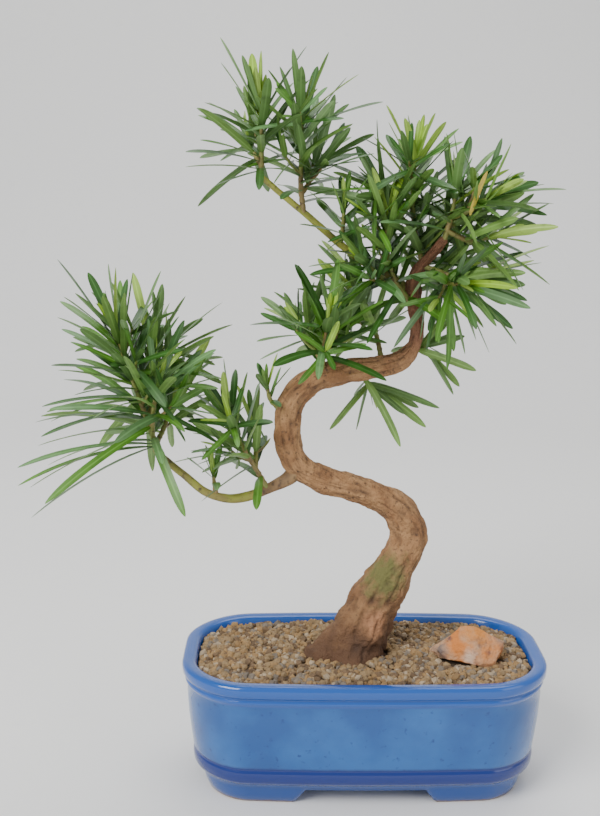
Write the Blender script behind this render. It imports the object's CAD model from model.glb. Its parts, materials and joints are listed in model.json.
import json
import math
from collections import namedtuple

import bpy
import numpy as np
from mathutils import Matrix, Vector

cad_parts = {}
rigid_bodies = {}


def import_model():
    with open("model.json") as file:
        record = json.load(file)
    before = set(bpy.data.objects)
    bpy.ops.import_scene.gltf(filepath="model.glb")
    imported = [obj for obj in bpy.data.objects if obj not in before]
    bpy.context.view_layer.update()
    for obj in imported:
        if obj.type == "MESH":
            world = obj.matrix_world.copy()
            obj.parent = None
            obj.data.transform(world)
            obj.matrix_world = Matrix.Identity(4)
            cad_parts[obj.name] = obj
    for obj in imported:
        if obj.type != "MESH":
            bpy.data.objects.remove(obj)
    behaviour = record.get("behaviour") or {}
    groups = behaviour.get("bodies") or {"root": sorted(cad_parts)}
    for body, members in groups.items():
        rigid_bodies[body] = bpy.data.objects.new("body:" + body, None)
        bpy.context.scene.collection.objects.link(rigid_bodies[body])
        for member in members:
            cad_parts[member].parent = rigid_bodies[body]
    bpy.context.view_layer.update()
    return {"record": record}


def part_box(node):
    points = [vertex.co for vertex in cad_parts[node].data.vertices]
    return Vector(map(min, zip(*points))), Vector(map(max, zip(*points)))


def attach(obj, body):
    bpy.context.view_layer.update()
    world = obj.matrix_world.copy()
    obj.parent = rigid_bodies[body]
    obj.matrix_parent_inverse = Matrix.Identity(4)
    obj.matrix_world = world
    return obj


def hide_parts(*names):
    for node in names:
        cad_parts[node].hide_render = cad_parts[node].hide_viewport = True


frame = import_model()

# Looks of a potted Buddhist pine bonsai. Tables are in millimetres from the pot's middle, soles at 0.
MM = 0.001
UP = np.array((0.0, 0.0, 1.0))
NODES = [node["node"] for node in frame["record"]["subparts"]]
FOLIAGE_NODES = [node for node in NODES if node.startswith("foliage")]
pot_low, pot_high = (np.array(corner, float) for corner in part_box("pot"))
POT_MIDDLE = np.array(((pot_low[0] + pot_high[0]) / 2, (pot_low[1] + pot_high[1]) / 2, 0.0)) / MM

# Pot: size, corner radius and bow of its sides, then the wall's profile as heights and insets, from the
# recess under it over the rim
POT_WIDTH, POT_DEPTH = 216.0, 112.0
POT_CORNER, LONG_SIDE_BOW, SHORT_SIDE_BOW = 38.0, 4.0, 1.5
RING_POINTS = 280
RECESS = ((11.4, 31.0), (0.0, 28.0))
FOOT = ((0.0, 15.5), (0.8, 14.6), (5.0, 13.0), (10.0, 11.8))
LEDGE = ((12.2, 11.4), (14.0, 9.6), (15.2, 8.0), (16.4, 6.9), (18.0, 6.3), (20.5, 6.1), (22.6, 6.1),
         (23.8, 6.7), (24.6, 7.2))
BODY = ((25.4, 6.6), (27.0, 6.1), (36.0, 4.9), (48.0, 3.6), (60.0, 3.0), (65.5, 3.2))
LIP = ((66.6, 2.7), (67.6, 1.9), (68.6, 1.6), (69.6, 1.9), (70.5, 2.7), (71.2, 2.2), (72.2, 0.7), (73.4, 0.2),
       (76.6, 0.0), (78.2, 0.5), (78.9, 1.6))
RIM = ((79.0, 3.0), (78.9, 6.0), (78.4, 7.4), (77.2, 8.4), (66.0, 9.6))
# Openings between the feet, each by its half width at its top and at the ground
CUT_OUT_HEIGHT = 10.0
CUT_OUT_FRONT, CUT_OUT_END = (35.0, 41.0), (14.0, 19.0)
# Bands over the glaze: the height where each is full, where it has ended, its ragged edge and its colour.
# In order: deep blue at the ledge, paler on the feet, clear on the lip, brown clay at the soles
GLAZE_BANDS = (
    (25.5, 27.5, 1.0, (0.004, 0.022, 0.17)), (15.0, 17.5, 1.5, (0.010, 0.062, 0.27)),
    (66.8, 65.6, 0.9, (0.012, 0.085, 0.36)), (1.6, 3.0, 2.2, (0.16, 0.07, 0.035)),
)

# Soil's level and how far its edge stands in from the pot's. Gravel tints: name, colour, share of the grains
SOIL_TOP, SOIL_INSET = 75.5, 9.2
GRAVEL_SEED, GRAINS_TRIED, GRAIN_SIZES, GRAIN_STRETCH, GRAIN_CHIPS = 90, 5200, (1.6, 3.0), (0.75, 1.2), 0.18
GRAVEL_TINTS = (
    ("tan", (0.30, 0.20, 0.10), 0.36), ("ochre", (0.33, 0.20, 0.085), 0.2),
    ("brown", (0.17, 0.105, 0.055), 0.2), ("grey", (0.21, 0.17, 0.13), 0.12),
    ("pale", (0.42, 0.32, 0.21), 0.12),
)

# Stone: middle, size, seed and number of its facets, and its peak from its middle.
# Then stains by their middle, reach and colour: orange top, cream front, grey left end, dark patch
STONE_MIDDLE, STONE_SIZE, STONE_SEED, STONE_FACETS = (62.5, -9.0), (45.0, 31.0, 20.5), 11, 15
STONE_PEAK, STONE_PEAK_REACH = (2.0, -3.0), 11.0
STONE_ROWS, STONE_COLUMNS = 80, 150
STONE_STAINS = (
    ((66.0, -12.0, 94.0), 13.0, (0.60, 0.22, 0.04)), ((60.0, -24.0, 83.0), 9.0, (0.62, 0.42, 0.29)),
    ((43.0, -15.0, 84.0), 10.0, (0.17, 0.125, 0.11)), ((73.0, -21.0, 86.0), 4.0, (0.09, 0.045, 0.05)),
)

# Limbs as rows of x, y, z and radius. Root flare: direction, reach past the trunk and half width of each root
TRUNK_LINE = (
    (-6.0, -1.0, 75.8, 19.0), (-4.0, -0.5, 84.0, 16.6), (2.2, 1.0, 98.8, 15.6), (8.0, 2.0, 111.2, 14.9),
    (16.8, 3.0, 127.4, 12.6), (23.0, 4.0, 138.6, 11.4), (25.8, 4.0, 150.9, 10.9), (19.4, 3.0, 164.9, 9.8),
    (6.1, 2.0, 173.1, 8.6), (-10.1, 0.0, 179.7, 7.9), (-24.2, -1.0, 184.4, 7.6), (-38.9, -3.0, 192.6, 7.7),
    (-45.4, -4.0, 204.7, 7.8), (-46.6, -4.0, 217.2, 7.6), (-44.4, -4.0, 229.5, 7.5),
    (-37.5, -3.0, 239.3, 7.4), (-26.7, -1.0, 245.4, 7.2), (-10.9, 1.0, 248.6, 6.9), (5.6, 3.0, 250.3, 6.6),
    (18.3, 4.0, 254.1, 5.8), (24.6, 5.0, 260.3, 4.4), (27.3, 5.0, 267.3, 3.8), (27.6, 5.0, 276.6, 4.1),
    (25.2, 5.0, 288.6, 4.7), (24.8, 4.6, 298.4, 4.5), (28.0, 2.6, 307.5, 3.5), (34.0, -1.6, 315.6, 2.8),
    (40.0, -6.0, 324.0, 2.4),
)
ROOT_FLARE = ((197.0, 13.0, 21.0), (275.0, 6.5, 24.0), (352.0, 5.0, 26.0), (80.0, 7.0, 28.0))
FLARE_HEIGHT = 8.0
LOWER_BOUGH = (
    (-41.0, -3.4, 190.5, 5.2), (-45.4, -3.8, 186.2, 4.2), (-51.0, -4.8, 183.2, 3.5),
    (-59.2, -6.0, 179.5, 2.9), (-70.7, -8.0, 175.8, 2.8), (-82.4, -10.0, 175.8, 2.6),
    (-94.1, -12.0, 180.5, 2.4), (-105.3, -13.0, 190.3, 2.2), (-119.2, -14.0, 202.8, 2.0),
    (-121.0, -14.6, 208.0, 1.9),
)
UPPER_BOUGH = (
    (23.6, 5.4, 294.6, 3.4), (19.0, 6.2, 297.4, 2.7), (12.0, 7.5, 301.5, 2.5), (-4.4, 8.0, 311.0, 2.3),
    (-17.1, 7.0, 320.3, 2.1), (-38.8, 5.0, 338.7, 1.9), (-55.0, 4.0, 351.8, 1.7), (-61.4, 3.2, 357.2, 1.6),
)
LINE_STEPS, SHOOT_STEPS = 12, 6
# The lower bough turns from brown to green half way through its fourth stretch
GREEN_FROM = 3 * LINE_STEPS + LINE_STEPS // 2

# Bark relief, as patches: columns to a cell (cells round the limb for the lumps), length of a cell, seed
FIBRES, FINE_FIBRES, FLAKES, FINE_FLAKES = (5, 8, 1), (3, 4, 2), (9, 6, 3), (6, 3, 4)
SPLITS, SPLIT_WIDTH, LUMPS = (8, 24, 9), 0.16, (5, 16, 5)
BARK_STEP = 0.85
# Bark colours over the ground: by height, as the glaze's bands, then by spots of middle and reach.
# In order: damp dark foot, redder top, moss, peeled strip, pale green spot
BARK_BANDS = ((98.0, 138.0, 26.0, (0.115, 0.055, 0.026)), (272.0, 254.0, 8.0, (0.22, 0.095, 0.050)))
BARK_SPOTS = (
    ((10.0, -10.0, 128.0), 25.0, (0.15, 0.14, 0.040)), ((7.0, -16.0, 100.0), 13.0, (0.42, 0.20, 0.095)),
    ((-38.0, -11.0, 230.0), 3.8, (0.36, 0.36, 0.11)),
)

# Foliage: each mass's stem, side shoots, leaf lengths, the box it keeps to and its far tips, as in the solids
Mass = namedtuple("Mass", "seed stem side_shoots leaf_lengths low high far_tips")
MASSES = (
    Mass(7, ((-87.2, -11.0, 178.0), (-88.0, -12.0, 184.0), (-88.6, -13.0, 190.0)), (),
         (32.0, 22.0), (-112.0, -45.0, 168.0), (-64.0, 20.0, 210.0), ((0.8, (-95.0, -16.0, 206.5)),)),
    Mass(3, ((-119.2, -14.0, 202.8), (-123.9, -15.0, 218.2), (-131.8, -18.0, 244.0), (-141.8, -20.0, 274.5)),
         ((0.16, (-118.4, -26.0, 242.4)), (0.24, (-125.5, 8.0, 261.7)), (0.08, (-113.0, 14.0, 232.0))),
         (74.0, 40.0), (-203.0, -80.0, 171.0), (-76.0, 62.0, 315.0),
         ((0.06, (-199.7, -10.0, 183.1)), (0.08, (-196.0, -30.0, 197.5)), (0.2, (-186.2, -20.0, 208.7)),
          (0.3, (-192.3, -6.0, 217.5)), (0.45, (-178.6, -30.0, 231.0)), (0.12, (-104.4, -36.0, 171.6)),
          (0.8, (-170.7, -24.0, 313.9)), (0.85, (-144.0, -20.0, 311.0)), (0.75, (-115.6, -18.0, 307.3)),
          (0.55, (-83.9, 4.0, 289.2)))),
    Mass(5, ((-58.0, -6.5, 181.0), (-64.0, -8.0, 192.0), (-70.5, -9.0, 203.2), (-79.5, -10.0, 222.5)),
         ((0.3, (-66.0, 8.0, 214.0)),),
         (46.0, 32.0), (-112.0, -50.0, 178.0), (-53.0, 40.0, 259.0), ((0.9, (-82.0, -12.0, 258.0)),)),
    Mass(9, ((-50.0, -5.6, 227.0), (-56.0, -7.6, 233.0), (-58.0, -9.0, 241.0)), (),
         (30.0, 20.0), (-84.0, -40.0, 216.0), (-44.0, 22.0, 262.0), ()),
    Mass(13, ((-27.0, -1.5, 246.5), (-26.4, -11.0, 262.0), (-24.4, -18.0, 279.0)),
         ((0.3, (-38.0, 6.0, 272.0)), (0.35, (-16.0, 2.0, 276.0))),
         (52.0, 36.0), (-70.0, -66.0, 246.0), (12.0, 42.0, 315.0),
         ((0.98, (-42.2, -22.0, 312.0)), (0.98, (-17.7, -20.0, 314.0)), (0.9, (-67.3, -20.0, 278.5)),
          (0.6, (-31.7, -44.0, 252.0)), (0.7, (5.7, -24.0, 292.0)))),
    Mass(29, ((29.0, 2.0, 309.0), (40.0, -4.0, 305.5), (48.0, -7.0, 302.5), (55.0, -9.0, 302.0)),
         ((0.4, (46.0, -24.0, 301.0)),),
         (46.0, 38.0), (8.0, -70.0, 254.0), (104.0, 50.0, 334.0),
         ((0.95, (87.3, -8.0, 288.8)), (0.7, (66.9, -10.0, 260.7)), (0.5, (52.5, -12.0, 260.4)),
          (0.4, (36.5, -18.0, 268.0)), (0.98, (93.6, -12.0, 312.0)), (0.98, (99.1, -4.0, 322.3)))),
    Mass(27, ((40.0, -6.0, 324.0), (43.0, -8.0, 336.0), (45.3, -8.0, 349.0)),
         ((0.2, (66.3, -6.0, 325.5)), (0.5, (62.0, -14.0, 347.0)), (0.3, (54.0, 12.0, 340.0))),
         (48.0, 38.0), (-4.0, -62.0, 284.0), (104.0, 60.0, 390.0),
         ((0.5, (95.7, 0.0, 355.1)), (0.95, (67.9, -16.0, 366.2)), (0.95, (53.4, -2.0, 380.0)),
          (0.4, (100.0, 2.0, 345.3)))),
    Mass(31, ((29.5, 2.0, 309.5), (25.0, 8.0, 328.0), (23.2, 6.0, 348.0), (23.6, 4.0, 367.0)),
         ((0.35, (4.0, 8.0, 352.0)),),
         (46.0, 34.0), (-30.0, -46.0, 300.0), (72.0, 56.0, 398.0),
         ((0.96, (6.8, 2.0, 396.3)), (0.9, (-6.0, -2.0, 378.6)), (0.95, (50.4, 4.0, 377.0)))),
    Mass(33, ((25.2, 4.0, 286.0), (13.0, -4.0, 302.0), (8.4, -6.0, 320.0), (8.2, -6.0, 336.6)),
         ((0.3, (-4.0, -10.0, 312.0)),),
         (46.0, 34.0), (-44.0, -60.0, 268.0), (40.0, 40.0, 372.0), ()),
    Mass(15, ((8.0, 4.0, 252.0), (5.0, 14.0, 268.0), (-2.0, 20.0, 284.0), (-6.0, 22.0, 297.0)), (),
         (50.0, 36.0), (-50.0, -20.0, 244.0), (50.0, 76.0, 330.0), ()),
    Mass(35, ((25.0, 5.5, 288.0), (29.0, 16.0, 303.0), (38.0, 26.0, 322.0)), ((0.4, (52.0, 24.0, 304.0)),),
         (46.0, 36.0), (-16.0, -30.0, 262.0), (100.0, 82.0, 368.0), ()),
    Mass(21, ((-61.4, 3.2, 357.2), (-61.6, 2.6, 366.0), (-61.1, 2.0, 376.0), (-62.2, 2.0, 391.4)),
         ((0.2, (-69.0, 16.0, 378.0)),),
         (46.0, 38.0), (-106.0, -50.0, 342.0), (-34.0, 62.0, 431.0),
         ((0.98, (-83.8, 0.0, 430.4)), (0.9, (-37.3, -2.0, 426.7)), (0.12, (-103.4, 0.0, 362.3)),
          (0.75, (-92.3, -4.0, 396.6)), (0.3, (-92.4, -20.0, 376.2)), (0.1, (-87.1, -8.0, 352.2)),
          (0.95, (-61.2, 6.0, 424.8)))),
    Mass(23, ((-38.0, 4.8, 338.0), (-39.6, 3.4, 352.0), (-39.6, 3.0, 366.0), (-39.2, 2.0, 390.6)),
         ((0.2, (-32.0, 16.0, 366.0)),),
         (48.0, 38.0), (-76.0, -54.0, 334.0), (8.0, 60.0, 428.0),
         ((0.96, (-8.4, 0.0, 412.4)), (0.84, (4.8, -6.0, 397.7)), (0.4, (-8.3, -10.0, 366.1)),
          (0.9, (-19.4, 6.0, 397.8)), (0.6, (-11.5, -12.0, 385.4)), (0.3, (-22.6, -26.0, 357.0)),
          (0.94, (-46.0, -12.0, 424.0)))),
    Mass(25, ((-17.1, 7.0, 320.3), (-15.8, 4.0, 330.0), (-15.4, 2.0, 339.0)), (),
         (34.0, 24.0), (-46.0, -34.0, 306.0), (16.0, 38.0, 364.0), ()),
    Mass(17, ((-3.0, 3.0, 248.0), (-1.6, 12.0, 242.0), (1.5, 17.0, 237.0)), (),
         (42.0, 34.0), (-28.0, -12.0, 206.0), (50.0, 62.0, 252.0),
         ((0.9, (-20.8, 6.0, 212.0)), (0.9, (22.4, 8.0, 222.0)), (0.95, (36.0, 10.0, 214.5)),
          (0.8, (43.0, 12.0, 222.4)))),
    Mass(19, ((24.0, 5.0, 259.5), (29.5, 11.0, 260.0), (36.0, 16.0, 262.0)), (),
         (36.0, 26.0), (14.0, -14.0, 226.0), (64.0, 52.0, 286.0), ((0.8, (51.2, 14.0, 232.2)),)),
)
# Leaves: turn from one to the next, spacing, width and thickness, opening at the shoot's foot and tip, sag,
# and random spread of turn, opening and length
GOLDEN_TURN = math.radians(137.508)
LEAF_STEP, LEAF_WIDTH, LEAF_THICKNESS = 1.7, 4.9, 0.5
LEAF_OPEN, LEAF_SAG, LEAF_SPREAD = (86.0, 26.0), 0.0034, (0.3, 9.0, 0.14)
# A blade tapers over its last stretch, is hollowed across, bends sideways and twists by up to these
TAPER_FROM, TAPER, LEAF_TROUGH, LEAF_BEND, LEAF_TWIST = 0.72, 0.28, 0.16, 0.07, 0.45
# Leaves under this length are narrower too; none comes nearer to a limb than this
FULL_WIDTH_LENGTH, CLEAR_OF_LIMB = 34, 1.6
# Young leaves at each shoot's tip: how many, the range of their turn, opening and length, their rank up it
TIP_LEAVES, TIP_TURN, TIP_OPEN, TIP_LENGTHS, TIP_RANK = 5, 6.28, (6.0, 20.0), (12.0, 26.0), 1.2
# Bare foot of a stem, of a side shoot by share and of a fine twig; fine twigs by spacing, reach, opening,
# lift and the length of their leaves by share; radii of shoots and of fine twigs at foot and tip
BARE_STEM, BARE_SHARE, BARE_TWIG = 5.0, 0.22, 7.0
TWIG_EVERY, TWIG_REACH, TWIG_OPEN, TWIG_LIFT, TWIG_LEAVES = 22.0, 15.0, math.radians(48.0), 2.5, (0.62, 0.6)
SHOOT_RADII, TWIG_RADII = (1.7, 1.0), (1.0, 0.7)
# A direction that no shoot takes, to start the turn round each shoot from
OFF_AXIS = (0.31, 0.95, 0.05)
# The one old leaf: root, its shoot's direction, heading and width, then colour, roughness and rib of its
# upper and under side
OLD_LEAF = ((51.0, -24.0, 338.0),), (UP,), ((7.0, -6.0, 24.0),), (5.0,)
OLD_SIDES = ((0.62, 0.42, 0.03), 0.45, 0.5), ((0.55, 0.40, 0.06), 0.5, 0.4)

# How the leaves are dealt: widths by share; past one share of its shoot a leaf turns fresh this often, and
# below another it never is. Then roughness and rib of the upper and under sides
DEAL_SEED, WIDTHS, FRESH_PAST, FRESH_OFTEN, NOT_FRESH_BELOW = 71, (0.86, 1.1), 0.93, 0.4, 0.6
SIDE_ROUGHNESS, SIDE_RIB = (0.36, 0.5), (0.7, 0.5)
# Leaf kinds: upper side, under side, share of all leaves
LEAF_KINDS = {
    "deep": ((0.028, 0.095, 0.010), (0.085, 0.17, 0.040), 0.42),
    "mid": ((0.066, 0.175, 0.014), (0.125, 0.235, 0.045), 0.38),
    "sheen": ((0.095, 0.20, 0.065), (0.16, 0.27, 0.10), 0.13),
    "fresh": ((0.22, 0.37, 0.025), (0.26, 0.40, 0.06), 0.07),
}


def unit(vector):
    return vector / np.maximum(np.linalg.norm(vector, axis=-1, keepdims=True), 1e-9)


def smooth_line(rows, steps=LINE_STEPS):
    """Catmull-Rom curve through the rows, each column alike."""
    rows = np.array(rows, float)
    ends = np.vstack([2 * rows[0] - rows[1], rows, 2 * rows[-1] - rows[-2]])
    before, start, end, after = (ends[k:len(ends) - 3 + k, None, :] for k in range(4))
    t = np.arange(steps)[None, :, None] / steps
    curve = start + 0.5 * ((end - before) * t + (2 * before - 5 * start + 4 * end - after) * t**2
                           + (3 * start - before - 3 * end + after) * t**3)
    return np.vstack([curve.reshape(-1, rows.shape[1]), rows[-1:]])


def lengths_along(line):
    return np.concatenate([[0.0], np.cumsum(np.linalg.norm(np.diff(line[:, :3], axis=0), axis=1))])


def rows_at(line, stations):
    travelled = lengths_along(line)
    return np.column_stack([np.interp(stations, travelled, column) for column in line.T])


def directions_at(line, stations):
    travelled = lengths_along(line)
    middles = (travelled[1:] + travelled[:-1]) / 2
    steps = unit(np.diff(line[:, :3], axis=0))
    return unit(np.column_stack([np.interp(stations, middles, column) for column in steps.T]))


def turned(turn, one, other):
    """Directions at a turn from one towards the other: one * cos(turn) + other * sin(turn)."""
    return np.cos(turn)[..., None] * one + np.sin(turn)[..., None] * other


def square_to(ahead):
    """Two directions square to each direction ahead and to one another."""
    one = unit(np.cross(ahead, OFF_AXIS))
    return one, np.cross(ahead, one)


def patchy(u, v, cells_u, cells_v, seed):
    """Smooth random patches: a seeded lattice of numbers, eased between cells, that closes round u = 0..1."""
    lattice = np.random.default_rng(seed).uniform(-1.0, 1.0, (cells_u, cells_v + 2))
    x, y = (u % 1.0) * cells_u, np.clip(v, 0.0, 1.0) * cells_v
    i, j = np.floor(x).astype(int), np.floor(y).astype(int)
    a, b = x - i, y - j
    a, b = a * a * (3 - 2 * a), b * b * (3 - 2 * b)
    i, k, j = i % cells_u, (i + 1) % cells_u, np.minimum(j, cells_v)
    return ((lattice[i, j] * (1 - a) + lattice[k, j] * a) * (1 - b)
            + (lattice[i, j + 1] * (1 - a) + lattice[k, j + 1] * a) * b)


def piece(name, points, faces, material, replaced, uvs=None, smooth=True, hollows=None):
    """One mesh object from points in millimetres and an array of faces of equal count.

    Hollows is how deep each point lies in the bark, 0 to 1, kept on the mesh for its material.
    """
    mesh = bpy.data.meshes.new(name)
    points = (points.reshape(-1, 3) + POT_MIDDLE) * MM
    faces = np.ascontiguousarray(faces.reshape(-1, faces.shape[-1]), dtype=np.int32)
    mesh.vertices.add(len(points))
    mesh.vertices.foreach_set("co", points.ravel())
    mesh.loops.add(faces.size)
    mesh.loops.foreach_set("vertex_index", faces.ravel())
    mesh.polygons.add(len(faces))
    mesh.polygons.foreach_set("loop_start", np.arange(len(faces), dtype=np.int32) * faces.shape[1])
    if uvs is not None:
        layer = mesh.uv_layers.new(name="surface")
        layer.uv.foreach_set("vector", uvs.reshape(-1, 2)[faces.ravel()].ravel())
    if hollows is not None:
        mesh.attributes.new("hollow", "FLOAT", "POINT").data.foreach_set("value", hollows.ravel())
    mesh.update(calc_edges=True)
    mesh.validate()
    mesh.polygons.foreach_set("use_smooth", np.full(len(mesh.polygons), smooth))
    mesh.materials.append(material)
    thing = bpy.data.objects.new(name, mesh)
    bpy.context.scene.collection.objects.link(thing)
    if replaced is not None:
        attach(thing, "root")
        if replaced:
            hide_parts(*replaced)
    return thing


def grid_faces(rows, columns, closed):
    """Quads of a grid of rows by columns, whose columns close on themselves where asked."""
    across = columns if closed else columns - 1
    row, column = np.meshgrid(np.arange(rows - 1), np.arange(across), indexing="ij")
    beside = (column + 1) % columns
    return np.stack([row * columns + column, row * columns + beside,
                     (row + 1) * columns + beside, (row + 1) * columns + column], axis=-1).reshape(-1, 4)


def add_node(tree, kind, values=None, operation=None, group=None):
    """A shader node with its operation or group, and then its inputs' values, set."""
    node = tree.nodes.new("ShaderNode" + kind)
    if operation:
        node.operation = operation
    if group:
        node.node_tree = group
    for label, value in (values or {}).items():
        node.inputs[label].default_value = value
    return node


def join(tree, *links):
    for start, end in links:
        tree.links.new(start, end)


def shared_group(name, inputs, outputs):
    tree = bpy.data.node_groups.new(name, "ShaderNodeTree")
    for label, kind, value in inputs:
        socket = tree.interface.new_socket(label, in_out="INPUT", socket_type="NodeSocket" + kind)
        socket.default_value = value
    for label, kind in outputs:
        tree.interface.new_socket(label, in_out="OUTPUT", socket_type="NodeSocket" + kind)
    return tree, tree.nodes.new("NodeGroupInput"), tree.nodes.new("NodeGroupOutput")


def mottle_group():
    """Three colours mixed by coarse patches and by finer grains of the object's own space."""
    tree, given, made = shared_group(
        "mottle",
        (("Ground", "Color", (1, 1, 1, 1)), ("Patch", "Color", (1, 1, 1, 1)),
         ("Fleck", "Color", (1, 1, 1, 1)), ("Coarse", "Float", 40.0),
         ("Fine", "Float", 300.0), ("Flecks", "Float", 0.6)),
        (("Color", "Color"),))
    place = add_node(tree, "TexCoord").outputs["Object"]
    colour = given.outputs["Ground"]
    for scale, tint, low, high in (("Coarse", "Patch", 0.42, 0.62), ("Fine", "Fleck", None, 0.72)):
        noise = add_node(tree, "TexNoise", {"Detail": 5.0})
        mask = add_node(tree, "MapRange", {"From Max": high})
        if low is None:
            tree.links.new(given.outputs["Flecks"], mask.inputs["From Min"])
        else:
            mask.inputs["From Min"].default_value = low
        mix = add_node(tree, "Mix")
        mix.data_type = "RGBA"
        join(tree, (place, noise.inputs["Vector"]), (given.outputs[scale], noise.inputs["Scale"]),
             (noise.outputs["Fac"], mask.inputs["Value"]), (mask.outputs["Result"], mix.inputs["Factor"]),
             (colour, mix.inputs["A"]), (given.outputs[tint], mix.inputs["B"]))
        colour = mix.outputs["Result"]
    tree.links.new(colour, made.inputs["Color"])
    return tree


def grain_group():
    """A bumped normal from fine noise of the object's own space."""
    tree, given, made = shared_group(
        "grain", (("Scale", "Float", 500.0), ("Height", "Float", 0.0002)), (("Normal", "Vector"),))
    place = add_node(tree, "TexCoord").outputs["Object"]
    noise = add_node(tree, "TexNoise", {"Detail": 6.0})
    bump = add_node(tree, "Bump", {"Strength": 1.0})
    join(tree, (place, noise.inputs["Vector"]), (given.outputs["Scale"], noise.inputs["Scale"]),
         (noise.outputs["Fac"], bump.inputs["Height"]), (given.outputs["Height"], bump.inputs["Distance"]),
         (bump.outputs["Normal"], made.inputs["Normal"]))
    return tree


MOTTLE = mottle_group()
GRAIN = grain_group()


def finish(name, ground, patch, fleck, coarse, fine, flecks, roughness, grain, height):
    """A Principled material whose colour is mottled and whose surface has a fine grain.

    Coarse, fine and grain are the noise scales of patches, flecks and bump. Flecks begin at their own level
    of noise, and height is the bump's in metres.
    """
    material = bpy.data.materials.new(name)
    material.use_nodes = True
    tree = material.node_tree
    shader = tree.nodes["Principled BSDF"]
    shader.inputs["Roughness"].default_value = roughness
    values = {"Ground": (*ground, 1.0), "Patch": (*patch, 1.0), "Fleck": (*fleck, 1.0),
              "Coarse": coarse, "Fine": fine, "Flecks": flecks}
    mottle = add_node(tree, "Group", values, group=MOTTLE)
    bumps = add_node(tree, "Group", {"Scale": grain, "Height": height}, group=GRAIN)
    join(tree, (mottle.outputs["Color"], shader.inputs["Base Color"]),
         (bumps.outputs["Normal"], shader.inputs["Normal"]))
    return material


def shade(colour, by, lift=0.0):
    return tuple(min(1.0, by * value + lift) for value in colour)


def tint_where(material, mask, tint):
    """Lay one more colour over the base colour where a mask socket is 1."""
    tree = material.node_tree
    base = tree.nodes["Principled BSDF"].inputs["Base Color"]
    mix = add_node(tree, "Mix")
    mix.data_type = "RGBA"
    mix.inputs["B"].default_value = (*tint, 1.0)
    join(tree, (mask, mix.inputs["Factor"]), (base.links[0].from_socket, mix.inputs["A"]))
    tree.links.new(mix.outputs["Result"], base)


def uneven_mask(tree, place, measure, noise_values, ragged, none, full):
    """1 where a measure plus noise times ragged is at full or past it, falling evenly to 0 at none."""
    noise = add_node(tree, "TexNoise", noise_values)
    uneven = add_node(tree, "Math", {1: ragged * MM}, "MULTIPLY_ADD")
    mask = add_node(tree, "MapRange", {"From Min": none * MM, "From Max": full * MM})
    join(tree, (place, noise.inputs["Vector"]), (noise.outputs["Fac"], uneven.inputs[0]),
         (measure, uneven.inputs[2]), (uneven.outputs["Value"], mask.inputs["Value"]))
    return mask.outputs["Result"]


def height_mask(material, full, none, ragged):
    """An uneven mask of the height on the object."""
    tree = material.node_tree
    place = add_node(tree, "TexCoord").outputs["Object"]
    split = add_node(tree, "SeparateXYZ")
    tree.links.new(place, split.inputs["Vector"])
    return uneven_mask(tree, place, split.outputs["Z"], {"Scale": 120.0}, ragged, none, full)


def spot_mask(material, middle, reach):
    """An uneven mask of the distance from a point, 1 up to 0.75 of the reach and 0 past 1.25 of it."""
    tree = material.node_tree
    place = add_node(tree, "TexCoord").outputs["Object"]
    away = add_node(tree, "VectorMath", {1: (np.array(middle) + POT_MIDDLE) * MM}, "DISTANCE")
    tree.links.new(place, away.inputs[0])
    noise_values = {"Scale": 220.0, "Detail": 4.0}
    return uneven_mask(tree, place, away.outputs["Value"], noise_values, reach, 1.25 * reach, 0.75 * reach)


def pot_ring(inset):
    """Rounded rectangle moved in by inset: corner arcs joined by sides that bow out by a parabola."""
    half_width = POT_WIDTH / 2 - SHORT_SIDE_BOW - inset
    half_depth = POT_DEPTH / 2 - LONG_SIDE_BOW - inset
    radius = POT_CORNER - inset
    straight = np.array((half_width - radius, half_depth - radius))
    per_corner, per_long, per_short = RING_POINTS // 10, RING_POINTS // 5, RING_POINTS // 10
    turn = np.linspace(0.0, math.pi / 2, per_corner)
    arc = radius * np.column_stack([np.cos(turn), np.sin(turn)]) + straight
    leftward = np.linspace(straight[0], -straight[0], per_long + 2)[1:-1]
    forward = np.linspace(straight[1], -straight[1], per_short + 2)[1:-1]
    top = np.column_stack([leftward, np.full(per_long, half_depth)])
    side = np.column_stack([np.full(per_short, -half_width), forward])
    half = np.vstack([arc, top, arc[::-1] * (-1, 1), side])
    ring = np.vstack([half, -half])
    x, y = ring.T
    return np.column_stack([x + SHORT_SIDE_BOW * (1 - (y / half_depth) ** 2) * x / half_width,
                            y + LONG_SIDE_BOW * (1 - (x / half_width) ** 2) * y / half_depth])


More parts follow.
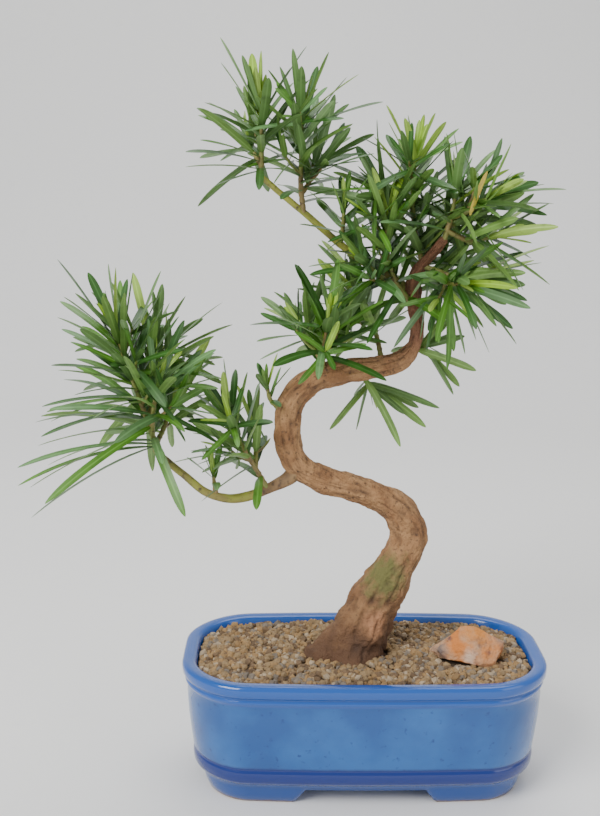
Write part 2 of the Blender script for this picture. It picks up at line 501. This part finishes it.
def make_pot():
    """The wall's profile carried round the pot; under the cut-outs each height is raised to their edge."""
    rings = []
    for height, inset in (*RECESS, *FOOT, *LEDGE, *BODY, *LIP, *RIM):
        ring = pot_ring(inset)
        x, y = np.abs(ring).T
        open_front = np.interp(x, CUT_OUT_FRONT, (CUT_OUT_HEIGHT, 0.0))
        open_end = np.interp(y, CUT_OUT_END, (CUT_OUT_HEIGHT, 0.0))
        rings.append(np.column_stack([ring, np.maximum(height, np.maximum(open_front, open_end))]))
    count = len(rings[0])
    points = np.vstack([*rings, (0.0, 0.0, RECESS[0][0])])
    faces = grid_faces(len(rings), count, True)
    hub = len(points) - 1
    spin = np.arange(0, count, 2)
    floor = np.column_stack([np.full(len(spin), hub), (spin + 2) % count, (spin + 1) % count, spin])
    glaze = finish("blue_glaze", (0.006, 0.074, 0.28), (0.014, 0.120, 0.38), (0.005, 0.050, 0.21),
                   22.0, 260.0, 0.62, 0.16, 90.0, 0.00022)
    shader = glaze.node_tree.nodes["Principled BSDF"]
    shader.inputs["Coat Weight"].default_value = 0.3
    shader.inputs["Coat Roughness"].default_value = 0.06
    for full, none, ragged, tint in GLAZE_BANDS:
        tint_where(glaze, height_mask(glaze, full, none, ragged), tint)
    piece("pot_glazed_wall", points, np.vstack([faces, floor]), glaze, ["pot"])


def root_bells(heading):
    """For each root its reach times exp(-(angle off its direction / its half width)^2)."""
    for direction, far, half_width in ROOT_FLARE:
        off = (heading - math.radians(direction) + math.pi) % (2 * math.pi) - math.pi
        yield far * np.exp(-((off / math.radians(half_width)) ** 2))


def limb_surface(line, columns, relief, flare):
    """Points at a radius round a line, in every direction across it.

    The radius is the limb's own, with the roots' bells fading up it and the bark's relief: fibres, stepped
    flakes, lumps and narrow splits, each a seeded patchwork over the surface.
    """
    length = lengths_along(line)[-1]
    stations = np.linspace(0.0, length, round(length / BARK_STEP) + 1)
    rows = rows_at(line, stations)
    ahead = directions_at(line, stations)
    if flare:
        ahead[0] = UP
    side = unit(np.cross(ahead[0], (0.0, 1.0, 0.1)))
    sides = []
    for direction in ahead:
        side = unit(side - direction * np.dot(side, direction))
        sides.append(side)
    sides = np.array(sides)
    beyond = np.cross(ahead, sides)
    u, v = np.meshgrid(np.arange(columns) / columns, stations / length)
    turn = 2 * math.pi * u
    outward = turned(turn, sides[:, None], beyond[:, None])
    radius = rows[:, 3][:, None] * np.ones_like(u)
    if flare:
        heading = np.arctan2(outward[..., 1], outward[..., 0])
        climb = rows[:, 2] - rows[0, 2]
        fade = np.exp(-climb / FLARE_HEIGHT)[:, None] * (stations < 60.0)[:, None]
        for bell in root_bells(heading):
            radius = radius + bell * fade

    def patches(columns_each, length_each, seed):
        return patchy(u, v, columns // columns_each, int(length / length_each), seed)

    fibre = patches(*FIBRES) + 0.6 * patches(*FINE_FIBRES)
    flakes = np.floor(3 * patches(*FLAKES)) / 3 + 0.4 * patches(*FINE_FLAKES)
    lumps = patchy(u, v, LUMPS[0], int(length / LUMPS[1]), LUMPS[2])
    splits = -np.clip(SPLIT_WIDTH - np.abs(patches(*SPLITS)), 0.0, SPLIT_WIDTH) * 3.0
    depth = relief * (rows[:, 3] / 12.0)[:, None] ** 0.6
    if flare:
        depth = depth * (1.0 + 0.9 * np.exp(-climb / 30.0) * (stations < 90.0))[:, None]
    bark = 0.42 * fibre + 0.5 * flakes + splits
    radius = radius + depth * (bark + 0.6 * lumps - 0.1)
    points = rows[:, None, :3] + outward * radius[..., None]
    end = rows[-1, :3] + ahead[-1] * rows[-1, 3]
    points = np.concatenate([points, np.broadcast_to(end, (1, columns, 3))])
    hollows = np.vstack([np.clip(-0.05 - 0.7 * bark, 0.0, 0.75), np.zeros((1, columns))])
    return points, grid_faces(len(points), columns, True), hollows


def make_bark(limbs):
    """The trunk's flaky bark and the boughs', darker in the hollows; the lower bough turns green."""
    bark = finish("flaky_bark", (0.38, 0.205, 0.088), (0.26, 0.125, 0.050), (0.11, 0.058, 0.03),
                  75.0, 520.0, 0.56, 0.85, 420.0, 0.0022)
    for full, none, ragged, tint in BARK_BANDS:
        tint_where(bark, height_mask(bark, full, none, ragged), tint)
    for middle, reach, tint in BARK_SPOTS:
        tint_where(bark, spot_mask(bark, middle, reach), tint)
    green = finish("green_bark", (0.30, 0.31, 0.045), (0.24, 0.20, 0.050), (0.07, 0.05, 0.025),
                   70.0, 330.0, 0.55, 0.6, 500.0, 0.0004)
    brown = finish("brown_twig_bark", (0.28, 0.17, 0.075), (0.18, 0.10, 0.045), (0.06, 0.035, 0.02),
                   70.0, 330.0, 0.55, 0.7, 500.0, 0.0005)
    darks = (bark, (0.055, 0.028, 0.016)), (green, (0.10, 0.075, 0.025)), (brown, (0.05, 0.03, 0.018))
    for material, dark in darks:
        hollow = add_node(material.node_tree, "Attribute")
        hollow.attribute_name = "hollow"
        tint_where(material, hollow.outputs["Fac"], dark)
    trunk_nodes = [node for node in NODES if node.startswith("trunk") or node == "crown_bough"]
    trunk, lower, upper = limbs
    inner, outer = lower[:GREEN_FROM + 1], lower[GREEN_FROM:]
    for name, line, columns, relief, material, nodes, slot in (
            ("trunk_bark", trunk, 150, 1.35, bark, trunk_nodes, "bark"),
            ("lower_bough_bark", inner, 40, 0.7, brown, ["lower_bough_inner"], "bark"),
            ("lower_bough_green_bark", outer, 40, 0.5, green, ["lower_bough_outer"], "green_bough"),
            ("upper_bough_green_bark", upper, 36, 0.5, green, ["upper_bough"], "green_bough")):
        points, faces, hollows = limb_surface(line, columns, relief, name == "trunk_bark")
        piece(name, points, faces, material, nodes, hollows=hollows)


def side_shoot(stem, share, tip, draw):
    """A curve from a share of the stem's length to a tip, swayed at random and sagging in its middle."""
    root = rows_at(stem, [share * lengths_along(stem)[-1]])[0]
    tip = np.array(tip)
    sway = draw.uniform(-0.04, 0.04, 3) - UP * 0.12
    return smooth_line((root, (root + tip) / 2 + sway * np.linalg.norm(tip - root), tip), SHOOT_STEPS)


def heading_of(ahead, turn, opening, length):
    """A leaf's direction times its length, opened from its shoot by an angle and turned about it."""
    return turned(opening, ahead, turned(turn, *square_to(ahead))) * length[:, None]


def spiral(shoot, bare, lengths, draw):
    """Leaves in a spiral up a shoot: roots, shoot directions, headings and their place along it."""
    leafy = lengths_along(shoot)[-1] - bare
    count = max(5, round(leafy / LEAF_STEP) + 2)
    share = np.arange(count) / (count - 1)
    stations = bare + (leafy - 0.6) * share
    roots, ahead = rows_at(shoot, stations), directions_at(shoot, stations)
    spread = draw.uniform(-1.0, 1.0, (count, 3)) * LEAF_SPREAD
    turn = GOLDEN_TURN * np.arange(count) + draw.uniform(0, 2 * math.pi) + spread[:, 0]
    opening = np.radians(LEAF_OPEN[0] + (LEAF_OPEN[1] - LEAF_OPEN[0]) * share + spread[:, 1])
    length = (lengths[0] + (lengths[1] - lengths[0]) * share) * (1.0 + spread[:, 2])
    return roots, ahead, heading_of(ahead, turn, opening, length), share


def sag_of(headings):
    """How far each leaf's tip sags: LEAF_SAG times its length times its length as seen from above."""
    length = np.linalg.norm(headings, axis=1)
    return LEAF_SAG * length * np.linalg.norm(headings[:, :2], axis=1)


def grow_mass(mass, limb_rows):
    """A mass's shoots and all its leaves that keep to its box and stand clear of the limbs."""
    draw = np.random.default_rng(mass.seed)
    stem = smooth_line(mass.stem, SHOOT_STEPS)
    shoots = [stem] + [side_shoot(stem, share, tip, draw) for share, tip in mass.side_shoots]
    total = lengths_along(stem)[-1]
    sets = []
    for share, tip in mass.far_tips:
        root = rows_at(stem, [share * total])
        heading = np.array([tip]) - root
        heading = heading + UP * sag_of(heading)[:, None]
        sets.append((root, directions_at(stem, [share * total]), heading, np.array([share])))
    fine = []
    short = [share * length for share, length in zip(TWIG_LEAVES, mass.leaf_lengths)]
    for number, shoot in enumerate(shoots):
        length = lengths_along(shoot)[-1]
        bare = BARE_STEM if number == 0 else BARE_SHARE * length
        sets.append(spiral(shoot, bare, mass.leaf_lengths, draw))
        count = int(length // TWIG_EVERY)
        if count:
            at = np.linspace(0.4, 0.8, count) * length
            turns = draw.uniform(0, 2 * math.pi, count)
            beside = directions_at(shoot, at)
            arms = heading_of(beside, turns, np.full(count, TWIG_OPEN), np.full(count, TWIG_REACH))
            for root, arm in zip(rows_at(shoot, at), arms):
                twig = smooth_line((root, root + arm * 0.5, root + arm + UP * TWIG_LIFT), SHOOT_STEPS)
                fine.append(twig)
                sets.append(spiral(twig, BARE_TWIG, short, draw))
        tip_roots = np.repeat(rows_at(shoot, [length - 0.3]), TIP_LEAVES, axis=0)
        tip_ahead = np.repeat(directions_at(shoot, [length]), TIP_LEAVES, axis=0)
        turns = GOLDEN_TURN * np.arange(TIP_LEAVES) + draw.uniform(0, TIP_TURN)
        opening = np.radians(draw.uniform(*TIP_OPEN, TIP_LEAVES))
        tip_headings = heading_of(tip_ahead, turns, opening, draw.uniform(*TIP_LENGTHS, TIP_LEAVES))
        sets.append((tip_roots, tip_ahead, tip_headings, np.full(TIP_LEAVES, TIP_RANK)))
    roots, ahead, headings, share = (np.concatenate(column) for column in zip(*sets))
    sag = sag_of(headings)
    t = np.linspace(0.12, 1.0, 8)[:, None]
    middle = roots[:, None] + headings[:, None] * t - UP * sag[:, None, None] * t**2
    tips = middle[:, -1]
    inside = ((tips > np.array(mass.low)) & (tips < np.array(mass.high))).all(axis=1)
    gap = np.linalg.norm(middle[:, :, None] - limb_rows[None, None, :, :3], axis=-1) - limb_rows[:, 3]
    keep = inside & (gap[:, 1:].min(axis=(1, 2)) > CLEAR_OF_LIMB)
    return shoots, fine, roots[keep], ahead[keep], headings[keep], share[keep]


def leaf_sheets(roots, ahead, headings, wide, draw):
    """Blades as grids: along t a sagging line, across s a strap that narrows to its foot and its tip.

    The half width is w * min(1, 0.3 + 5t) * (1 - ((t - 0.72) / 0.28)^2)^0.62 past t = 0.72. The upper sheet
    stands half the leaf's thickness times (1 - s^2) above the blade's shallow trough, the under sheet below.
    """
    t = np.concatenate([np.linspace(0.0, TAPER_FROM, 8),
                        TAPER_FROM + TAPER * np.sin(np.linspace(0, math.pi / 2, 6))[1:]])
    s = np.array((-1.0, -0.5, 0.0, 0.5, 1.0))
    sag = sag_of(headings)
    bend = draw.uniform(-LEAF_BEND, LEAF_BEND, len(roots)) * np.linalg.norm(headings, axis=1)
    side0 = np.cross(unit(headings), unit(ahead))
    in_line = np.linalg.norm(side0, axis=1, keepdims=True) < 0.05
    side0 = unit(np.where(in_line, np.cross(headings, UP + 0.01), side0))
    middle = (roots[:, None] + headings[:, None] * t[:, None] - UP * sag[:, None, None] * t[:, None] ** 2
              + side0[:, None] * (bend[:, None] * t**2)[..., None])
    forward = unit(np.gradient(middle, t, axis=1))
    twist = draw.uniform(-LEAF_TWIST, LEAF_TWIST, len(roots))[:, None] * t
    side = unit(side0[:, None] - forward * (side0[:, None] * forward).sum(-1, keepdims=True))
    face = np.cross(side, forward)
    side, face = turned(twist, side, face), turned(twist, face, -side)
    past = np.clip((t - TAPER_FROM) / TAPER, 0.0, 1.0)
    shape = np.minimum(1.0, 0.3 + 5.0 * t) * np.maximum(1 - past**2, 0.0004) ** 0.62
    half = wide[:, None] / 2 * shape
    across = side[:, :, None] * (half[..., None] * s)[..., None]
    trough = face[:, :, None] * (LEAF_TROUGH * half[..., None] * s**2)[..., None]
    thick = face[:, :, None] * (LEAF_THICKNESS / 2 * shape[:, None] * (1 - s**2))[None, ..., None]
    upper = middle[:, :, None] + across + trough + thick
    under = middle[:, :, None] + across + trough - thick
    one = grid_faces(len(t), len(s), False)
    faces = one[None] + (np.arange(len(roots)) * len(t) * len(s))[:, None, None]
    uvs = np.stack(np.meshgrid((s + 1) / 2, t), axis=-1)
    uvs = np.broadcast_to(uvs, (len(roots), *uvs.shape))
    return upper, under, faces, uvs


def leaf_finish(name, colour, roughness, rib):
    """Leaf green with a paler rib down the middle of the blade and faint lines along it."""
    material = finish(name, colour, shade(colour, 1.3), shade(colour, 0.72),
                      45.0, 160.0, 0.55, roughness, 260.0, 0.00012)
    tree = material.node_tree
    place = add_node(tree, "UVMap")
    place.uv_map = "surface"
    split = add_node(tree, "SeparateXYZ")
    off = add_node(tree, "Math", {1: 0.5}, "SUBTRACT")
    away = add_node(tree, "Math", operation="ABSOLUTE")
    mask = add_node(tree, "MapRange", {"From Min": 0.13, "From Max": 0.02, "To Max": rib})
    join(tree, (place.outputs["UV"], split.inputs["Vector"]), (split.outputs["X"], off.inputs[0]),
         (off.outputs["Value"], away.inputs[0]), (away.outputs["Value"], mask.inputs["Value"]))
    tint_where(material, mask.outputs["Result"], shade(colour, 1.9, 0.03))
    return material


def tube(line, radii, sides=7):
    """Rings round a shoot's line whose radius narrows evenly and swells at each leaf's foot."""
    length = lengths_along(line)[-1]
    stations = np.linspace(0.0, length, max(6, round(length / 1.6)))
    rows = rows_at(line[:, :3], stations)
    ahead = directions_at(line, stations)
    one, other = square_to(ahead)
    turn = np.arange(sides) * 2 * math.pi / sides
    radius = np.linspace(radii[0], radii[1], len(stations)) * (1 + 0.12 * np.sin(stations * 2.1))
    radius[-1] *= 0.25
    return rows[:, None] + radius[:, None, None] * turned(turn, one[:, None], other[:, None])


def lay_leaves(name, finish_name, blades, sides):
    """The blades' upper and under sides as two pieces, each with its own colour, roughness and rib."""
    upper, under, faces, uvs = blades
    for label, sheet, way, side in zip(("upper", "under"), (upper, under), (1, -1), sides):
        green = leaf_finish(f"{finish_name}_{label}", *side)
        piece(f"{name}_{label}", sheet, faces[..., ::way], green, FOLIAGE_NODES, uvs)


def make_foliage(limbs):
    """Every mass grown and its leaves dealt by seed among the kinds, fresh ones near the shoots' tips."""
    draw = np.random.default_rng(DEAL_SEED)
    limb_rows = np.vstack([limb[::3] for limb in limbs])
    grown = [grow_mass(mass, limb_rows) for mass in MASSES]
    roots, ahead, headings, share = (np.concatenate([mass[k] for mass in grown]) for k in (2, 3, 4, 5))
    fullness = np.clip(np.linalg.norm(headings, axis=1) / FULL_WIDTH_LENGTH, 0.55, 1)
    wide = LEAF_WIDTH * draw.uniform(*WIDTHS, len(roots)) * fullness
    dealt = draw.uniform(0.0, 1.0, len(roots))
    kinds = np.digitize(dealt, np.cumsum([kind[2] for kind in LEAF_KINDS.values()])[:-1])
    names = list(LEAF_KINDS)
    fresh, mid = names.index("fresh"), names.index("mid")
    kinds[(share > FRESH_PAST) & (draw.uniform(0.0, 1.0, len(roots)) < FRESH_OFTEN)] = fresh
    kinds[(kinds == fresh) & (share < NOT_FRESH_BELOW)] = mid
    for number, name in enumerate(names):
        chosen = kinds == number
        blades = leaf_sheets(roots[chosen], ahead[chosen], headings[chosen], wide[chosen], draw)
        sides = zip(LEAF_KINDS[name][:2], SIDE_ROUGHNESS, SIDE_RIB)
        lay_leaves(f"leaves_{name}", f"leaf_{name}", blades, sides)
    old = leaf_sheets(*(np.array(rows) for rows in OLD_LEAF), draw)
    lay_leaves("ageing_leaf", "ageing_leaf", old, OLD_SIDES)
    points, faces, start = [], [], 0
    for mass in grown:
        lines = [(shoot, SHOOT_RADII) for shoot in mass[0]] + [(twig, TWIG_RADII) for twig in mass[1]]
        for line, radii in lines:
            rings = tube(line, radii)
            points.append(rings.reshape(-1, 3))
            faces.append(grid_faces(len(rings), rings.shape[1], True) + start)
            start += len(points[-1])
    green = finish("young_stem", (0.20, 0.26, 0.05), (0.24, 0.17, 0.06), (0.10, 0.06, 0.03),
                   60.0, 380.0, 0.57, 0.55, 500.0, 0.0003)
    piece("leafy_shoots", np.vstack(points), np.vstack(faces), green, FOLIAGE_NODES)


def stone_radius(directions, draw):
    """How far a chipped stone reaches along each direction: the nearest of its seeded facets."""
    reach = np.full(directions.shape[:-1], 0.62)
    for _ in range(STONE_FACETS):
        facing = unit(draw.normal(size=3) * (1.0, 1.0, 0.8))
        depth = draw.uniform(0.40, 0.50)
        facing_share = directions @ facing
        reach = np.minimum(reach, np.where(facing_share > 0.05, depth / np.maximum(facing_share, 0.05), 9.0))
    down = -directions[..., 2]
    return np.minimum(reach, np.where(down > 0.05, 0.30 / np.maximum(down, 0.05), 9.0))


def make_stone():
    """The facets' reach over a sphere's grid of directions, roughened, stretched to the stone's size.

    Heights are then multiplied by 0.84 + 0.28 exp(-(distance from the peak / its reach)^2).
    """
    u, v = np.meshgrid(np.arange(STONE_COLUMNS) / STONE_COLUMNS, np.linspace(0.0, 1.0, STONE_ROWS))
    turn, tilt = 2 * math.pi * u, math.pi * v
    directions = np.stack([np.cos(turn) * np.sin(tilt), np.sin(turn) * np.sin(tilt), np.cos(tilt)], axis=-1)
    reach = stone_radius(directions, np.random.default_rng(STONE_SEED))
    fade = np.sin(tilt)
    reach = reach * (1 + fade * (0.035 * patchy(u, v, 9, 7, 6) + 0.02 * patchy(u, v, 22, 15, 7)
                                 + 0.01 * patchy(u, v, 60, 34, 8)))
    points = directions * reach[..., None]
    low, high = points.min(axis=(0, 1)), points.max(axis=(0, 1))
    points = ((points - low) / (high - low) - (0.5, 0.5, 0.0)) * STONE_SIZE
    from_peak = np.linalg.norm(points[..., :2] - STONE_PEAK, axis=-1)
    points[..., 2] *= 0.84 + 0.28 * np.exp(-((from_peak / STONE_PEAK_REACH) ** 2))
    points += (*STONE_MIDDLE, SOIL_TOP + 0.3)
    rock = finish("orange_rock", (0.50, 0.30, 0.17), (0.58, 0.19, 0.035), (0.10, 0.05, 0.05),
                  75.0, 120.0, 0.54, 0.75, 400.0, 0.0018)
    for middle, far, tint in STONE_STAINS:
        tint_where(rock, spot_mask(rock, middle, far), tint)
    piece("chipped_stone", points, grid_faces(STONE_ROWS, STONE_COLUMNS, True), rock, ["stone"])


def make_gravel(trunk):
    """Grains: twelve-cornered balls, each stretched, turned and chipped by seed, scattered over the soil.

    They keep inside the pot, off the stone and off the trunk's foot. Their level sinks by 2.2 times (share
    of the way to the rim)^4 and rises towards the trunk.
    """
    draw = np.random.default_rng(GRAVEL_SEED)
    golden = (1 + math.sqrt(5)) / 2
    corners = unit(np.array([
        (-1, golden, 0), (1, golden, 0), (-1, -golden, 0), (1, -golden, 0), (0, -1, golden), (0, 1, golden),
        (0, -1, -golden), (0, 1, -golden), (golden, 0, -1), (golden, 0, 1), (-golden, 0, -1), (-golden, 0, 1),
    ], float))
    ball = np.array([
        (0, 11, 5), (0, 5, 1), (0, 1, 7), (0, 7, 10), (0, 10, 11), (1, 5, 9), (5, 11, 4), (11, 10, 2),
        (10, 7, 6), (7, 1, 8), (3, 9, 4), (3, 4, 2), (3, 2, 6), (3, 6, 8), (3, 8, 9), (4, 9, 5),
        (2, 4, 11), (6, 2, 10), (8, 6, 7), (9, 8, 1)])
    inner = np.array((POT_WIDTH / 2, POT_DEPTH / 2)) - SOIL_INSET
    place = draw.uniform(-1.0, 1.0, (GRAINS_TRIED, 2)) * (inner - 1.0)
    half = inner - 2.2
    corner = POT_CORNER - SOIL_INSET
    beyond = np.maximum(np.abs(place) - (half - corner), 0.0)
    inside = np.linalg.norm(beyond, axis=1) < corner
    foot = trunk[0]
    from_trunk = place - foot[:2]
    heading = np.arctan2(from_trunk[:, 1], from_trunk[:, 0])
    root = np.full(GRAINS_TRIED, foot[3] - 1.5)
    for bell in root_bells(heading):
        root += bell
    clear = np.linalg.norm(from_trunk, axis=1) > root
    off_stone = np.linalg.norm((place - STONE_MIDDLE) / np.multiply(0.43, STONE_SIZE[:2]), axis=1) > 1.0
    place = place[inside & clear & off_stone]
    count = len(place)
    size = draw.uniform(*GRAIN_SIZES, (count, 1)) * draw.uniform(*GRAIN_STRETCH, (count, 3)) * (1.0, 1.0, 0.8)
    spin = unit(draw.normal(size=(count, 4)))
    w, x, y, z = spin.T
    rotation = np.stack([1 - 2 * (y * y + z * z), 2 * (x * y - w * z), 2 * (x * z + w * y),
                         2 * (x * y + w * z), 1 - 2 * (x * x + z * z), 2 * (y * z - w * x),
                         2 * (x * z - w * y), 2 * (y * z + w * x), 1 - 2 * (x * x + y * y)], axis=-1)
    rotation = rotation.reshape(-1, 3, 3)
    rim_share = np.linalg.norm(place / (POT_WIDTH / 2, POT_DEPTH / 2), axis=1)
    level = SOIL_TOP - 2.2 * rim_share**4 + draw.uniform(-0.6, 1.5, count)
    level += 2.2 * np.exp(-np.linalg.norm(place - foot[:2], axis=1) / 26.0)
    chips = 1 + draw.uniform(-GRAIN_CHIPS, GRAIN_CHIPS, (count, len(corners), 1))
    grains = corners[None] * chips * size[:, None]
    grains = np.einsum("nij,nkj->nki", rotation, grains) + np.column_stack([place, level])[:, None]
    kinds = draw.choice(len(GRAVEL_TINTS), count, p=[share for _, _, share in GRAVEL_TINTS])
    for number, (name, colour, _) in enumerate(GRAVEL_TINTS):
        some = grains[kinds == number]
        faces = ball[None] + (np.arange(len(some)) * len(corners))[:, None, None]
        grain = finish(f"gravel_{name}", colour, shade(colour, 0.72), shade(colour, 0.4),
                       150.0, 700.0, 0.6, 0.88, 900.0, 0.0004)
        piece(f"gravel_{name}", some, faces, grain, [], smooth=False)


def dress_soil():
    """The solid of the soil keeps its own mesh, under the gravel, and gets dark earth as its material."""
    earth = finish("dark_soil", (0.10, 0.065, 0.04), (0.06, 0.04, 0.025), (0.2, 0.14, 0.08),
                   90.0, 500.0, 0.6, 0.95, 700.0, 0.0012)
    for thing in bpy.data.objects:
        if thing.name == "soil" and thing.type == "MESH":
            for slot in thing.material_slots:
                slot.material = earth


def make_stage():
    """A pale floor that curves up behind the plant: a profile of a flat, a quarter arc and a wall."""
    turn = np.linspace(0.0, math.pi / 2, 24)
    front, back, radius, top, half_width = -3500.0, 900.0, 900.0, 4200.0, 4500.0
    arc = np.column_stack([back + radius * np.sin(turn), radius * (1 - np.cos(turn))])
    profile = np.vstack([[(front, 0.0)], arc, [(back + radius, top)]])
    points = np.array([[(x, y, z) for x in (-half_width, half_width)] for y, z in profile])
    paper = finish("pale_paper", (0.83, 0.82, 0.80), (0.84, 0.83, 0.81), (0.82, 0.81, 0.79),
                   2.0, 60.0, 0.6, 0.9, 200.0, 0.00005)
    piece("pale_floor", points, grid_faces(len(profile), 2, False), paper, None)


# Lights: place and side in metres and power in watts, all aimed at the middle of the plant
LIGHT_TARGET = (0.0, 0.0, 0.2)
LIGHTS = (
    ("window", (-1.1, -1.2, 1.5), 1.1, 46.0), ("fill", (1.5, -1.0, 0.8), 1.2, 8.0),
    ("overhead", (0.2, 0.5, 1.7), 1.2, 14.0),
)


def make_light(name, place, side, power):
    data = bpy.data.lights.new(name, "AREA")
    data.shape = "RECTANGLE"
    data.size = data.size_y = side
    data.energy = power
    lamp = bpy.data.objects.new(name, data)
    lamp.location = place
    lamp.rotation_euler = (Vector(LIGHT_TARGET) - Vector(place)).to_track_quat("-Z", "Y").to_euler()
    bpy.context.scene.collection.objects.link(lamp)


# The photograph's view, worked out from the pot's outline: place in millimetres from the pot's middle,
# turn, tilt and roll in degrees, and focal length in image widths
CAMERA_PLACE = (-47.36, -620.4, 359.49)
CAMERA_YAW, CAMERA_PITCH, CAMERA_ROLL = (math.radians(angle) for angle in (-0.76, 12.058, 0.436))
CAMERA_FOCAL = 1100.0 / 600.0


def make_camera():
    """Looks along its yaw and pitch, with its right and up turned by the roll about that line."""
    data = bpy.data.cameras.new("camera")
    data.sensor_fit = "HORIZONTAL"
    data.sensor_width = 36.0
    data.lens = 36.0 * CAMERA_FOCAL
    data.clip_start, data.clip_end = 0.01, 50.0
    sin_yaw, cos_yaw = math.sin(CAMERA_YAW), math.cos(CAMERA_YAW)
    sin_pitch, cos_pitch = math.sin(CAMERA_PITCH), math.cos(CAMERA_PITCH)
    forward = np.array((-sin_yaw * cos_pitch, cos_yaw * cos_pitch, -sin_pitch))
    right = np.array((cos_yaw, sin_yaw, 0.0))
    above = np.cross(right, forward)
    cos_roll, sin_roll = math.cos(CAMERA_ROLL), math.sin(CAMERA_ROLL)
    turned_right = cos_roll * right + sin_roll * above
    turned_up = cos_roll * above - sin_roll * right
    camera = bpy.data.objects.new("camera", data)
    turn = Matrix(np.column_stack([turned_right, turned_up, -forward]).tolist()).to_4x4()
    camera.matrix_world = Matrix.Translation((np.array(CAMERA_PLACE) + POT_MIDDLE) * MM) @ turn
    bpy.context.scene.collection.objects.link(camera)
    bpy.context.scene.camera = camera


def make_studio():
    make_stage()
    for light in LIGHTS:
        make_light(*light)
    world = bpy.data.worlds.new("studio_air")
    world.use_nodes = True
    air = world.node_tree.nodes["Background"].inputs
    air["Color"].default_value = (0.85, 0.88, 0.92, 1.0)
    air["Strength"].default_value = 0.65
    bpy.context.scene.world = world


limbs = [smooth_line(TRUNK_LINE), smooth_line(LOWER_BOUGH), smooth_line(UPPER_BOUGH)]
make_camera()
make_studio()
make_pot()
make_bark(limbs)
make_foliage(limbs)
make_stone()
dress_soil()
make_gravel(limbs[0])
